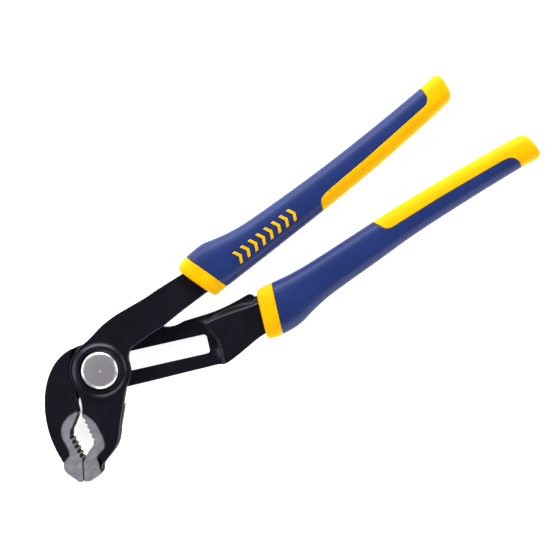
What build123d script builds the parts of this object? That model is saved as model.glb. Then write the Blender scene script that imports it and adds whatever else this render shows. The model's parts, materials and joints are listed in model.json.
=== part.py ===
from build123d import *
from math import cos, radians, sin
import os

# Push-button water pump pliers, 250 mm class, in millimetres.
# Two forged levers lie lapped over each other. A toothed bolt in the slot of the back lever carries a
# bush, and the front lever turns on that bush. A sprung button on the bolt frees its teeth from the slot.
# Origin: the pivot axis at the back face. +X runs to the handles, +Y to the upper handle, +Z to the button.

# ---- driving dimensions -------------------------------------------------------------------------
LAP = 6.3                 # thickness of each lever where they lie lapped
LAP_GAP = 0.2             # air between the lapped faces
FRONT = 2 * LAP + LAP_GAP     # front face of the front lever
MID = FRONT / 2           # mid-plane of jaws, handles and grips
HOOK_FRONT = 12.6         # front face of the back lever's jaw hook
MILL_BACK = 0.6           # bare milled faces of both jaws
MILL_FRONT = 12.1
SHANK_BACK = 2.2          # handle shanks between joint and grips
SHANK_FRONT = 10.6
TANG = 6.2                # thickness of the tangs inside the grips
STEP_CHAMFER = 1.1        # chamfer on the forged step at the back lever's shoulder
STEP_CORNER = (79.0, -40.0)   # the step's far corner, inside the grip and below the shank
BACK_STEP = (51.0, 56.5)  # where the back lever's back face ramps up to its shank, along X
FRONT_STEP = (44.0, 51.0)     # where the front lever's front face ramps down to its shank
UNDER_STEP = (45.3, 51.5)     # where the front lever's back face ramps down to its shank
FAR = 60.0                # further than any edge that a cutting shape has to pass

SLOT_ANGLE = -20.74       # direction of the slot, degrees from +X
SLOT_WIDTH = 8.6
SLOT_SHIFT = 0.8          # the slot's centre line passes this far above the pivot
SLOT_START = -6.4         # ends of the slot along its own direction
SLOT_END = 48.8
SLOT_CORNER = 1.5
RACK_DEPTH = 2.7          # the wider, toothed back part of the slot
RACK_PITCH = 1.85
RACK_TIP = 5.1            # half width between tooth tips
RACK_ROOT = 5.9           # half width between tooth roots
RACK_SLACK = 0.15         # air between the bolt's teeth and the rack
TRAVEL = 12 * RACK_PITCH  # slide of the joint along the slot

SWING = 36.0              # opening angle of the front lever
DISC_R = 13.8             # round head of the front lever
RUN_GAP = 0.35            # air between the levers beside a moving edge
RAIL_REACH = 10.05        # from the pivot to the outer edge of the rail under the slot
JAW_BACK = 0.2            # back face of the front lever's jaw
BEARING_R = 5.5           # bush barrel
FIT = 0.05                # radial running clearance
BOLT_R = 3.0
BOLT_TEETH = 5            # teeth on each side of the bolt's head
SHOE_LENGTH = 11.0        # the bush's shoe, along the slot
WELL_R = 9.2              # round well for the button
WELL_FLOOR = 9.6
BOSS_R = 11.6             # raised bead around the well
BOSS_TOP = 14.0
BEAD_FOOT = 1.4           # width of the fillet at the bead's foot
BUTTON_R = 8.25
BUTTON_TOP = 15.8
BUTTON_SKIRT = 13.45
BUTTON_CEILING = 14.5     # inside of the button's top
BUTTON_WALL = 1.4
BUTTON_CHAMFER = (1.0, 0.9)   # width and depth of the button's rim chamfer
BOLT_END = 15.3           # top of the bolt, inside the button
HUB_R = 4.6
WASHER = (9.65, 10.45)    # bottom and top of the thrust washer
WASHER_R = 8.8
SPRING_WIRE = 0.8
SPRING_TURNS = 2.5
SPRING_R = (7.4, 5.7)     # coil radius at the washer and at the button

TOOTH_DEPTH = 0.95        # gripping teeth of the jaws
LEFT_TEETH = 5
RIGHT_TEETH = 5
TIP_GAP = 0.3             # air between the closed jaw tips
MARK_START = (77.4, 7.9)  # row of raised chevrons on the upper grip
MARK_ANGLE = 4.6
MARK_PITCH = 4.3
MARK_COUNT = 8
MARK_HEIGHT = 6.0
MARK_STROKE = 1.5
MARK_FROM = 13.0          # from inside the sleeve's skin to a little proud of it
MARK_TO = 14.85

DIRECTION = (cos(radians(SLOT_ANGLE)), sin(radians(SLOT_ANGLE)))
NORMAL = (-DIRECTION[1], DIRECTION[0])


# ---- small tools --------------------------------------------------------------------------------
def outline(*runs):
    """Closed face from runs of points: two points make a straight, more make a smooth curve."""
    edges = []
    for run in runs:
        edges += [Line(*run)] if len(run) == 2 else [Spline(*run)]
    return make_face(edges)


def polygon(*points):
    """Closed face with straight sides."""
    return make_face(Polyline(*points, close=True))


def slab(face, bottom, top):
    """A flat face raised from height bottom to height top."""
    return Pos(0, 0, bottom) * extrude(face, amount=top - bottom)


def side_cut(*points):
    """A cutting wedge drawn in X and Z that runs right across the tool in Y."""
    face = make_face(Polyline(*[(x, FAR, z) for x, z in points], close=True))
    return extrude(face, amount=2 * FAR, dir=(0, -1, 0))


def slot_place(along, across=0.0):
    """A point given along and across the slot's centre line."""
    across += SLOT_SHIFT
    return (along * DIRECTION[0] + across * NORMAL[0], along * DIRECTION[1] + across * NORMAL[1])


def zigzag(start, end, teeth, depth):
    """Saw teeth from start to end, cut to the left of that direction."""
    (x0, y0), (x1, y1) = start, end
    length = ((x1 - x0) ** 2 + (y1 - y0) ** 2) ** 0.5
    side = (-(y1 - y0) / length * depth, (x1 - x0) / length * depth)
    points = [start]
    for n in range(teeth):
        for part, deep in ((0.5, 1), (1.0, 0)):
            t = (n + part) / teeth
            points.append((x0 + (x1 - x0) * t + side[0] * deep, y0 + (y1 - y0) * t + side[1] * deep))
    return points


# ---- the back lever -----------------------------------------------------------------------------
RAIL_END = (-15.6, -4.8)      # where the rail under the slot ends at the relief beside the hook
HOOK_CORNER = (-19.2, -10.6)  # foot of that relief, at the top of the mouth
MOUTH_LEFT_TOP = (-26.9, -16.6)
MOUTH_LEFT_END = (-28.0, -28.2)
TIP_TOP = (-28.9, -29.4)
TIP_END = (-33.4, -37.1)


def back_lever_outline():
    """Whole outline of the slotted lever up to the grip, without its jaw teeth."""
    return outline(
        [RAIL_END, (-17.3, -5.9), (-18.3, -7.9), HOOK_CORNER],
        [HOOK_CORNER, (-24.3, -14.2)],
        [(-24.3, -14.2), (-26.0, -15.2), MOUTH_LEFT_TOP],
        [MOUTH_LEFT_TOP, MOUTH_LEFT_END],
        [MOUTH_LEFT_END, TIP_TOP],
        [TIP_TOP, TIP_END],
        [TIP_END, (-35.4, -36.0)],
        [(-35.4, -36.0), (-36.7, -32.2), (-37.7, -28.9), (-37.6, -27.6)],
        [(-37.6, -27.6), (-36.2, -25.3)],
        [(-36.2, -25.3), (-36.0, -20.0), (-34.8, -12.6), (-31.8, -4.1), (-26.9, 4.0), (-20.5, 10.5),
         (-13.6, 14.2), (-6.7, 15.1), (-0.6, 13.9)],
        [(-0.6, 13.9), (33.3, 0.9)],
        [(33.3, 0.9), (36.2, -1.0), (39.4, -1.9), (42.0, -2.1)],
        [(42.0, -2.1), (48.8, -4.1), (56.0, -6.1), (63.8, -7.35), (72.7, -8.0)],
        [(72.7, -8.0), (74.1, -8.9), (74.6, -10.4)],
        [(74.6, -10.4), (78.5, -12.0)],
        [(78.5, -12.0), (73.5, -27.4)],
        [(73.5, -27.4), (69.2, -26.8)],
        [(69.2, -26.8), (58.7, -27.7), (51.2, -28.4), (47.7, -28.3), (44.6, -26.9)],
        [(44.6, -26.9), (13.6, -15.85)],
        [(13.6, -15.85), RAIL_END],
    )


def hook_front():
    """The part of the hook that has the jaws' full thickness, clear of the front lever's head."""
    reach = DISC_R + RUN_GAP
    hook = outline(
        [HOOK_CORNER, (-50.0, -25.0)],
        [(-50.0, -25.0), (-50.0, 25.0)],
        [(-50.0, 25.0), (1.0, 22.0)],
        [(1.0, 22.0), (-9.4, 10.7)],
        [(-9.4, 10.7), RAIL_END],
        [RAIL_END, HOOK_CORNER],
    )
    jaw = polygon(RAIL_END, (-50.0, -25.0), (-50.0, -50.0), (-28.0, -50.0), (-16.0, -20.0))
    return hook + jaw - Circle(reach)


def back_shank_raised():
    """The handle's full-thickness part, behind the joint's reach and below the shoulder."""
    end, low = STEP_CORNER
    step = slab(outline(
        [(45.4, low), (46.6, -27.0), (49.3, -20.0), (50.1, -14.0), (48.6, -8.2)],
        [(48.6, -8.2), (50.0, -7.75)],
        [(50.0, -7.75), (56.0, -8.4), (65.7, -10.8), (74.0, -12.7), (end, -13.4)],
        [(end, -13.4), (end, low)],
        [(end, low), (45.4, low)],
    ), LAP, SHANK_FRONT)
    top = step.faces().sort_by(Axis.Z)[-1]
    rim = [edge for edge in top.edges() if edge.center().X < end - 0.1 and edge.center().Y > low + 0.1]
    return chamfer(rim, length=STEP_CHAMFER)


def back_tang():
    """Tang of the back lever inside its grip."""
    return outline(
        [(72.0, -14.6), (90.0, -15.9), (120.0, -16.2), (160.0, -16.6), (196.0, -18.0)],
        [(196.0, -18.0), (199.0, -20.4), (196.0, -23.4)],
        [(196.0, -23.4), (160.0, -23.2), (120.0, -24.0), (90.0, -25.6), (72.0, -25.2)],
        [(72.0, -25.2), (72.0, -14.6)],
    )


def slot_cut():
    """The through slot, and the wider toothed slot behind it."""
    middle = (SLOT_START + SLOT_END) / 2
    place = Pos(*slot_place(middle)) * Rot(0, 0, SLOT_ANGLE)
    length = SLOT_END - SLOT_START
    through = slab(RectangleRounded(length, SLOT_WIDTH, SLOT_CORNER), -1, FRONT)
    racks = toothed_bar(int(length / RACK_PITCH) - 1, RACK_TIP, RACK_ROOT)
    # the rack keeps the same phase as the bolt's head, which sits at the pivot
    count = round(middle / RACK_PITCH * 2) / 2
    rack_place = Pos(*slot_place(count * RACK_PITCH)) * Rot(0, 0, SLOT_ANGLE)
    return place * through + rack_place * slab(racks, -1, RACK_DEPTH)


def toothed_bar(teeth, tip, root):
    """Bar along X with saw teeth on both long sides: tip is the near half width, root the far one."""
    half = teeth * RACK_PITCH / 2
    upper = [(-half, tip)]
    for n in range(teeth):
        upper += [(-half + (n + 0.5) * RACK_PITCH, root), (-half + (n + 1) * RACK_PITCH, tip)]
    lower = [(x, -y) for x, y in reversed(upper)]
    return polygon(*upper, *lower)


def left_mill():
    """Milled, bare zone of the back lever's jaw."""
    return outline(
        [(-14.0, -9.4), (-20.9, -9.2)],
        [(-20.9, -9.2), (-25.3, -9.8), (-29.1, -12.3), (-30.9, -17.0), (-31.3, -21.5), (-32.7, -24.2)],
        [(-32.7, -24.2), (-45.0, -27.6)],
        [(-45.0, -27.6), (-45.0, -45.0)],
        [(-45.0, -45.0), (-14.0, -45.0)],
        [(-14.0, -45.0), (-14.0, -9.4)],
    )


def left_teeth():
    """Saw-tooth gashes across the back lever's jaw."""
    points = zigzag(MOUTH_LEFT_END, MOUTH_LEFT_TOP, LEFT_TEETH, TOOTH_DEPTH)
    return polygon(*points, (-24.0, -17.0), (-24.0, -28.0))


def make_slotted_lever():
    """Back lever: hook and jaw, slotted lap, shank and tang in one forging."""
    lap = slab(back_lever_outline(), 0, LAP)
    hook = slab(back_lever_outline() & hook_front(), LAP, HOOK_FRONT)
    shank = slab(back_lever_outline(), LAP, SHANK_FRONT) & back_shank_raised()
    tang = slab(back_tang(), MID - TANG / 2, MID + TANG / 2)
    lever = lap + hook + shank + tang - slot_cut()
    lever -= slab(left_mill(), MILL_FRONT, FRONT + 1)
    lever -= slab(left_mill(), -1, MILL_BACK)
    lever -= slab(left_teeth(), -1, FRONT + 1)
    start, end = BACK_STEP
    ramp = side_cut((start, -1), (start, 0), (end, SHANK_BACK), (end + FAR, SHANK_BACK), (end + FAR, -1))
    return lever - ramp


# ---- the front lever ----------------------------------------------------------------------------
MOUTH_RIGHT_TOP = (-18.3, -13.4)
MOUTH_RIGHT_END = (-20.1, -24.9)


def tip_offset(point):
    """A jaw tip point moved off the closed line by the gap between the tips."""
    dx, dy = TIP_END[0] - TIP_TOP[0], TIP_END[1] - TIP_TOP[1]
    length = (dx * dx + dy * dy) ** 0.5
    return (point[0] - dy / length * TIP_GAP, point[1] + dx / length * TIP_GAP)


def front_lever_outline():
    """Whole outline of the front lever up to the grip, without its jaw teeth."""
    tip_top = tip_offset(TIP_TOP)
    tip_end = tip_offset(TIP_END)
    top = (0.0, DISC_R)
    return outline(
        [(-17.9, -12.2), MOUTH_RIGHT_TOP],
        [MOUTH_RIGHT_TOP, MOUTH_RIGHT_END],
        [MOUTH_RIGHT_END, (-20.8, -25.9), (-23.1, -26.8), (-26.0, -28.1), tip_top],
        [tip_top, tip_end],
        [tip_end, (-30.9, -38.7)],
        [(-30.9, -38.7), (-25.2, -38.6)],
        [(-25.2, -38.6), (-24.1, -37.5), (-23.3, -36.4), (-22.0, -35.4)],
        [(-22.0, -35.4), (-17.6, -34.0), (-12.8, -32.0), (-9.6, -29.2), (-7.3, -26.2)],
        [(-7.3, -26.2), (5.1, -12.7)],
        [(5.1, -12.7), (8.4, -10.7), (11.4, -6.6), (13.0, -2.4), (15.6, 0.1), (18.9, 0.6)],
        [(18.9, 0.6), (26.0, 0.95), (33.4, 0.85)],
        [(33.4, 0.85), (46.0, 2.1), (60.5, 3.0)],
        [(60.5, 3.0), (57.0, 15.7)],
        [(57.0, 15.7), (39.2, 15.9)],
        [(39.2, 15.9), (26.0, 16.3), (17.0, 16.6), (9.5, 15.7), (4.6, 14.5), top],
        [top, (-DISC_R * sin(radians(50)), DISC_R * cos(radians(50))), (-DISC_R, 0.0)],
        [(-DISC_R, 0.0), (-13.9, -3.6), (-14.3, -5.6), (-15.5, -8.6), (-17.9, -12.2)],
    )


def rail_sweep():
    """Room that the back lever's rail takes up as the front lever swings over it."""
    reach = RAIL_REACH + RUN_GAP
    rail = Pos(0, FAR / 2 - reach, 0) * slab(Rectangle(2 * FAR, FAR), -FRONT, 2 * FRONT)
    shut = Rot(0, 0, SLOT_ANGLE) * rail
    opened = Rot(0, 0, SLOT_ANGLE - SWING) * rail
    return shut + opened + slab(Circle(reach), -FRONT, 2 * FRONT)


def jaw_zone():
    """The front lever's side of the joint that carries its jaw."""
    return polygon((-FAR, -FAR), (12.0, -FAR), (12.0, -4.0), (-FAR, -4.0))


def front_shank():
    """Handle of the front lever between joint and grip."""
    return polygon((UNDER_STEP[0], -5.0), (62.0, -5.0), (62.0, 25.0), (UNDER_STEP[0], 25.0))


def front_tang():
    """Tang of the front lever inside its grip."""
    return outline(
        [(55.0, 14.8), (70.0, 15.4), (95.0, 15.3), (130.0, 17.2), (178.0, 21.8)],
        [(178.0, 21.8), (181.5, 19.9), (178.8, 16.6)],
        [(178.8, 16.6), (130.0, 9.6), (95.0, 6.6), (70.0, 5.4), (57.0, 4.4)],
        [(57.0, 4.4), (55.0, 14.8)],
    )


def right_mill():
    """Milled, bare zone of the front lever's jaw."""
    return outline(
        [(-18.6, -11.2), (-16.7, -12.2)],
        [(-16.7, -12.2), (-15.3, -15.2), (-14.7, -19.0), (-15.1, -23.3), (-16.3, -28.0), (-18.1, -30.0)],
        [(-18.1, -30.0), (-21.4, -30.8), (-22.8, -31.5)],
        [(-22.8, -31.5), (-23.1, -35.4)],
        [(-23.1, -35.4), (-25.6, -40.0)],
        [(-25.6, -40.0), (-45.0, -40.0)],
        [(-45.0, -40.0), (-18.6, -11.2)],
    )


def right_teeth():
    """Saw-tooth gashes across the front lever's jaw."""
    points = zigzag(MOUTH_RIGHT_TOP, MOUTH_RIGHT_END, RIGHT_TEETH, TOOTH_DEPTH)
    return polygon(*points, (-23.0, -25.0), (-23.0, -13.0))


def boss_bead():
    """Rounded bead that stands around the button well."""
    crest = ((WELL_R + BOSS_R) / 2, BOSS_TOP)
    foot = (BOSS_R + BEAD_FOOT, FRONT)
    sunk = FRONT - 0.5
    lip = BOSS_TOP - 0.35
    profile = outline(
        [(foot[0], sunk), foot],
        [foot, (BOSS_R + 0.1, FRONT + 0.35), (BOSS_R - 0.7, BOSS_TOP - 0.3), crest],
        [crest, (WELL_R, lip)],
        [(WELL_R, lip), (WELL_R, sunk)],
        [(WELL_R, sunk), (foot[0], sunk)],
    )
    return revolve(Plane.XZ * profile, Axis.Z)


def make_button_lever():
    """Front lever: jaw, round head with its button well, shank and tang in one forging."""
    under = LAP + LAP_GAP
    start, end = FRONT_STEP
    lever = slab(front_lever_outline(), under, FRONT)
    above = FRONT + 1
    lever -= side_cut((start, FRONT), (end, SHANK_FRONT), (FAR, SHANK_FRONT), (FAR, above), (start, above))
    lever += slab(front_lever_outline() & jaw_zone(), JAW_BACK, under) - rail_sweep()
    start, end = UNDER_STEP
    shank = slab(front_lever_outline() & front_shank(), SHANK_BACK, under)
    lever += shank - side_cut((start, under), (end, SHANK_BACK), (end, 0), (start - 1, 0), (start - 1, under))
    lever += slab(front_tang(), MID - TANG / 2, MID + TANG / 2)
    lever += boss_bead()
    lever -= slab(Circle(WELL_R), WELL_FLOOR, BOSS_TOP + 1)
    lever -= slab(Circle(BEARING_R + FIT), -1, WELL_FLOOR)
    lever -= slab(right_mill(), MILL_FRONT, FRONT + 1)
    lever -= slab(right_mill(), -1, MILL_BACK)
    lever -= slab(right_teeth(), -1, FRONT + 1)
    return lever


# ---- the bolt, its bush and its button ----------------------------------------------------------
def make_guide_bush():
    """Shoe keyed in the slot, with the round barrel that the front lever turns on."""
    seam = LAP + LAP_GAP / 2
    key = RectangleRounded(SHOE_LENGTH, SLOT_WIDTH - 2 * FIT, 1.0)
    shoe = Pos(*slot_place(0)) * Rot(0, 0, SLOT_ANGLE) * slab(key, RACK_DEPTH + RACK_SLACK, seam)
    barrel = slab(Circle(BEARING_R), seam, WASHER[0])
    return shoe + barrel - slab(Circle(BOLT_R + FIT), -1, FRONT)


def make_lock_bolt():
    """Toothed head in the back of the slot, and a round shank up to the button."""
    teeth = toothed_bar(BOLT_TEETH, RACK_TIP - RACK_SLACK, RACK_ROOT - RACK_SLACK)
    head = Pos(*slot_place(0)) * Rot(0, 0, SLOT_ANGLE) * slab(teeth, 0, RACK_DEPTH - 0.1)
    shank = slab(Circle(BOLT_R), 0, BOLT_END)
    return head + shank


def make_thrust_washer():
    """Flat washer on the bush, under the spring."""
    return slab(Circle(WASHER_R) - Circle(BOLT_R + 0.3), *WASHER)


def make_button_spring():
    """Conical coil between the washer and the inside of the button."""
    rise = BUTTON_CEILING - WASHER[1] - SPRING_WIRE
    bottom_r, top_r = SPRING_R
    steps = int(SPRING_TURNS * 8)
    points = []
    for n in range(steps + 1):
        part = n / steps
        angle = radians(360 * SPRING_TURNS * part)
        radius = bottom_r + (top_r - bottom_r) * part
        points.append((radius * cos(angle), radius * sin(angle), WASHER[1] + SPRING_WIRE / 2 + rise * part))
    path = Spline(*points)
    return sweep((path ^ 0) * Circle(SPRING_WIRE / 2), path=path)


def make_push_button():
    """Round cap with a bright chamfered rim, pressed on the bolt's end."""
    width, depth = BUTTON_CHAMFER
    inner = BUTTON_R - BUTTON_WALL
    half = polygon(
        (BOLT_R, BUTTON_SKIRT), (HUB_R, BUTTON_SKIRT), (HUB_R, BUTTON_CEILING), (inner, BUTTON_CEILING),
        (inner, BUTTON_SKIRT), (BUTTON_R, BUTTON_SKIRT), (BUTTON_R, BUTTON_TOP - depth),
        (BUTTON_R - width, BUTTON_TOP), (0, BUTTON_TOP), (0, BOLT_END), (BOLT_R, BOLT_END))
    return revolve(Plane.XZ * half, Axis.Z)


# ---- the grips ----------------------------------------------------------------------------------
# each station: distance along X, lower edge, upper edge, half thickness
UPPER_GRIP = [
    (50.0, -0.3, 17.0, 7.4), (54.0, -0.4, 19.5, 8.0), (57.0, -0.5, 20.7, 8.4), (60.8, -0.5, 21.4, 8.7),
    (66.6, 0.1, 22.0, 8.8), (69.9, 0.3, 21.8, 8.7), (74.4, 0.7, 20.8, 8.5), (83.8, 1.4, 19.5, 8.2),
    (95.0, 2.3, 19.3, 8.0), (128.8, 5.2, 20.7, 8.0), (158.8, 8.6, 23.1, 8.0), (188.0, 12.9, 26.3, 8.3),
    (194.4, 14.1, 27.5, 8.2), (196.4, 15.2, 26.8, 7.4), (197.6, 17.2, 25.0, 6.2),
]
LOWER_GRIP = [
    (66.0, -27.8, -11.0, 7.4), (70.2, -29.3, -10.4, 8.0), (74.0, -30.8, -9.8, 8.4), (78.0, -31.7, -8.9, 8.7),
    (82.5, -32.0, -9.2, 8.8), (86.6, -31.7, -9.9, 8.7), (93.8, -30.1, -10.9, 8.4), (103.2, -28.7, -11.5, 8.1),
    (128.8, -27.7, -11.8, 8.0), (148.8, -26.9, -12.0, 8.0), (178.8, -27.2, -13.3, 8.0),
    (205.3, -28.2, -15.0, 8.3), (212.5, -28.9, -15.9, 8.2), (214.6, -28.2, -17.5, 7.4),
    (215.9, -26.6, -20.4, 6.2),
]


def grip_body(stations):
    """Handle body through rounded sections, straight between them."""
    sections = []
    for x, low, high, half in stations:
        plane = Plane(origin=(x, (low + high) / 2, MID), x_dir=(0, 1, 0), z_dir=(1, 0, 0))
        radius = 0.62 * min(half, (high - low) / 2)
        sections.append(plane * RectangleRounded(high - low, 2 * half, radius))
    return loft(sections, ruled=True)


def block(face):
    """A cutting block through the whole thickness of a grip."""
    return slab(face, -FRONT, 2 * FRONT)


def upper_collar_cut():
    """Everything in front of the upper grip's slanted front edge."""
    return block(polygon((30, 40), (52.3, 19.0), (59.7, 0.3), (62.0, -20), (30, -20)))


def upper_collar_zone():
    """The yellow collar's part of the upper grip."""
    return block(polygon((30, 50), (47.7, 50), (59.0, 21.1), (67.2, 0.1), (75.0, -20), (30, -20)))


def upper_tail_zone():
    """The yellow inner side and end of the upper grip."""
    return block(outline(
        [(121.2, 0.0), (121.4, 4.4), (121.9, 7.0), (122.9, 8.9), (124.8, 9.9), (128.4, 10.7)],
        [(128.4, 10.7), (148.2, 13.0), (168.0, 15.8), (183.0, 18.0)],
        [(183.0, 18.0), (185.2, 18.8), (186.4, 20.2), (186.9, 23.0), (187.1, 35.0)],
        [(187.1, 35.0), (205.0, 35.0)],
        [(205.0, 35.0), (205.0, 0.0)],
        [(205.0, 0.0), (121.2, 0.0)],
    ))


def lower_collar_cut():
    """Everything in front of the lower grip's slanted front edge."""
    return block(polygon((50, -50), (61.3, -50), (69.2, -28.4), (75.9, -9.9), (80.0, 10), (50, 10)))


def lower_collar_zone():
    """The yellow collar's part of the lower grip."""
    return block(polygon((50, -50), (69.0, -50), (76.1, -31.2), (84.2, -9.8), (91.7, 10), (50, 10)))


def lower_tail_zone():
    """The yellow inner side and end of the lower grip."""
    return block(outline(
        [(135.0, -5.0), (136.9, -11.8), (138.3, -15.0), (139.5, -17.2), (141.6, -18.3), (145.0, -18.5)],
        [(145.0, -18.5), (168.0, -19.1), (187.9, -20.2), (199.5, -21.0)],
        [(199.5, -21.0), (203.0, -22.0), (204.6, -24.0), (205.2, -27.0), (205.3, -40.0)],
        [(205.3, -40.0), (225.0, -40.0)],
        [(225.0, -40.0), (225.0, -5.0)],
        [(225.0, -5.0), (135.0, -5.0)],
    ))


def grip_marks():
    """Row of chevrons along the upper grip, in line with it."""
    half = MARK_HEIGHT / 2
    reach = MARK_HEIGHT / 4
    tip = MARK_STROKE + reach
    chevron = polygon((0, half), (MARK_STROKE, half), (tip, 0), (MARK_STROKE, -half), (0, -half), (reach, 0))
    place = Pos(*MARK_START) * Rot(0, 0, MARK_ANGLE)
    return [place * Pos(n * MARK_PITCH, 0) * chevron for n in range(MARK_COUNT)]


def make_marks(sleeve):
    """Raised chevrons on both faces of the sleeve, as separate solids."""
    marks = []
    for chevron in grip_marks():
        for bottom, top in ((MARK_FROM, MARK_TO), (FRONT - MARK_TO, FRONT - MARK_FROM)):
            marks += (slab(chevron, bottom, top) - sleeve).solids()
    return Compound(children=marks)


def make_grip(stations, lever, front_cut, collar_zone, tail_zone):
    """Collar, sleeve and tail of one two-colour grip, hollow for the lever's tang."""
    body = grip_body(stations) - front_cut - lever
    collar = body & collar_zone
    tail = body & tail_zone
    sleeve = body - collar_zone - tail_zone
    return collar, sleeve, tail


# ---- write every piece --------------------------------------------------------------------------
def main():
    os.makedirs("parts", exist_ok=True)
    pieces = {
        "slotted_lever": make_slotted_lever(),
        "button_lever": make_button_lever(),
        "guide_bush": make_guide_bush(),
        "lock_bolt": make_lock_bolt(),
        "thrust_washer": make_thrust_washer(),
        "button_spring": make_button_spring(),
        "push_button": make_push_button(),
    }
    upper = make_grip(UPPER_GRIP, pieces["button_lever"], upper_collar_cut(), upper_collar_zone(),
                      upper_tail_zone())
    lower = make_grip(LOWER_GRIP, pieces["slotted_lever"], lower_collar_cut(), lower_collar_zone(),
                      lower_tail_zone())
    for side, (collar, sleeve, tail) in (("upper", upper), ("lower", lower)):
        pieces[side + "_grip_collar"] = collar
        pieces[side + "_grip_sleeve"] = sleeve
        pieces[side + "_grip_tail"] = tail
    pieces["upper_grip_marks"] = make_marks(pieces["upper_grip_sleeve"])
    for name, piece in pieces.items():
        export_step(piece, f"parts/{name}.step")
        print(name, len(piece.solids()), round(piece.volume), piece.is_valid)


main()
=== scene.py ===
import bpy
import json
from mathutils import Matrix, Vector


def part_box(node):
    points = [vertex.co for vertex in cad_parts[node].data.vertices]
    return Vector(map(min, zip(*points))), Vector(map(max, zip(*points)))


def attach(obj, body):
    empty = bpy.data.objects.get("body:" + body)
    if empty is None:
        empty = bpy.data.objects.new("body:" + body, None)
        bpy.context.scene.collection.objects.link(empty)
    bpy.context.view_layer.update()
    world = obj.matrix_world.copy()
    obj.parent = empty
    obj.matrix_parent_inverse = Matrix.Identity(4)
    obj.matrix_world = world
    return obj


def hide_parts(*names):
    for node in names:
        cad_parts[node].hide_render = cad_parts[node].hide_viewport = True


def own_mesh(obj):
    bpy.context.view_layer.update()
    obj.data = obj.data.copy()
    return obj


bl_info = {
    "name": "Push-button pliers",
    "version": (1, 0, 0),
    "blender": (4, 5, 0),
    "location": "View3D > Sidebar > Pliers",
    "description": "Builds the visible pieces of push-button water pump pliers around their CAD frame",
    "category": "Add Mesh",
}

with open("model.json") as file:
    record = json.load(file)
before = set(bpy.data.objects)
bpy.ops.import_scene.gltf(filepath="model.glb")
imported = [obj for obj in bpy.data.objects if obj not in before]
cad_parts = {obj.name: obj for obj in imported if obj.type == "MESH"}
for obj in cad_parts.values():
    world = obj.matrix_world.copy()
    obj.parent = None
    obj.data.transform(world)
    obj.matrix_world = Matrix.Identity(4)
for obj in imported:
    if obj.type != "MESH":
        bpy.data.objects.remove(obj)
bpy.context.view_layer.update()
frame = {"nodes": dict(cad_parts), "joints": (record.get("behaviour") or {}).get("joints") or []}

import json
from math import atan2, cos, pi, radians, sin, tau

import bmesh
import bpy
from bpy.props import FloatProperty, FloatVectorProperty, IntProperty, StringProperty
from mathutils import Matrix, Vector

MM = 0.001

# ---- heights that the pieces share, read from the frame ----
LEVER_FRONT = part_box("slotted_lever")[1].z
GRIP_MIDDLE = (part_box("upper_grip_sleeve")[0].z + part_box("upper_grip_sleeve")[1].z) / 2
FLOOR = min(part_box(name)[0].z for name in frame["nodes"] if "marks" not in name)
BUTTON_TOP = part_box("push_button")[1].z
BUTTON_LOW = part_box("push_button")[0].z
BUTTON_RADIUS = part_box("push_button")[1].x
SPRING_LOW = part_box("button_spring")[0].z
SPRING_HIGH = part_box("button_spring")[1].z

MILL_DEPTHS = (0.6 * MM, 12.1 * MM)     # heights of the milled flats at the jaws' back and front
RACK_TOP = 3.0 * MM                     # just above the toothed back half of the slot
LAP_TOP = LEVER_FRONT / 2 + 0.5 * MM    # just above the plane where the levers lap
SLIDE = next(j for j in frame["joints"] if j["name"] == "jaw_adjust")
SLOT_DIRECTION = Vector(SLIDE["axis"]).xy
SLOT_ENDS, SLOT_HALF = (-8 * MM, 50 * MM), 7.2 * MM     # a box just outside the slot, about its axis


PATTERN_LOW, PATTERN_HIGH = 0.3, 0.7    # noise seldom leaves this part of 0 to 1


# ---- small tools ----
def linear(code):
    """A colour written as sRGB hex, as the linear red, green, blue and alpha that a shader takes."""
    channels = [int(code[n:n + 2], 16) / 255 for n in (1, 3, 5)]
    return [c / 12.92 if c <= 0.04045 else ((c + 0.055) / 1.055) ** 2.4 for c in channels] + [1.0]


def add_node(tree, kind, sockets=None, **settings):
    """Adds a node. sockets gives each input its value, or the output that feeds it."""
    made = tree.nodes.new(kind)
    for name, value in settings.items():
        setattr(made, name, value)
    for name, value in (sockets or {}).items():
        socket = made.inputs[name]
        if isinstance(value, bpy.types.NodeSocket):
            tree.links.new(value, socket)
        else:
            socket.default_value = value
    return made


def new_material(name, roughness, metallic=0.0, **extra):
    """A material with its shader, and the shader's constants set on its own sockets."""
    material = bpy.data.materials.new(name)
    material.use_nodes = True
    tree = material.node_tree
    shader = tree.nodes["Principled BSDF"]
    shader.inputs["Roughness"].default_value = roughness
    shader.inputs["Metallic"].default_value = metallic
    for socket, value in extra.items():
        shader.inputs[socket.replace("_", " ")].default_value = value
    return material, tree, shader


def drive(tree, shader, value, shades=None, roughness=None, relief=None):
    """Lets a 0 to 1 pattern vary a shader: shades are two hex colours, roughness is a range, and
    relief is a bump's depth in mm and its strength, laid over any bump that is there already."""
    if shades:
        share = add_node(tree, "ShaderNodeMapRange", {
            "Value": value, "From Min": PATTERN_LOW, "From Max": PATTERN_HIGH, "To Min": 0.0, "To Max": 1.0})
        mixed = add_node(tree, "ShaderNodeMix", {
            0: share.outputs["Result"], "A": linear(shades[0]), "B": linear(shades[1])}, data_type="RGBA")
        tree.links.new(mixed.outputs["Result"], shader.inputs["Base Color"])
    if roughness:
        share = add_node(tree, "ShaderNodeMapRange", {
            "Value": value, "From Min": PATTERN_LOW, "From Max": PATTERN_HIGH,
            "To Min": roughness[0], "To Max": roughness[1]})
        tree.links.new(share.outputs["Result"], shader.inputs["Roughness"])
    if relief:
        depth_mm, strength = relief
        sockets = {"Height": value, "Distance": depth_mm * MM, "Strength": strength}
        for link in shader.inputs["Normal"].links:
            sockets["Normal"] = link.from_socket
        bump = add_node(tree, "ShaderNodeBump", sockets)
        tree.links.new(bump.outputs["Normal"], shader.inputs["Normal"])


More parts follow.
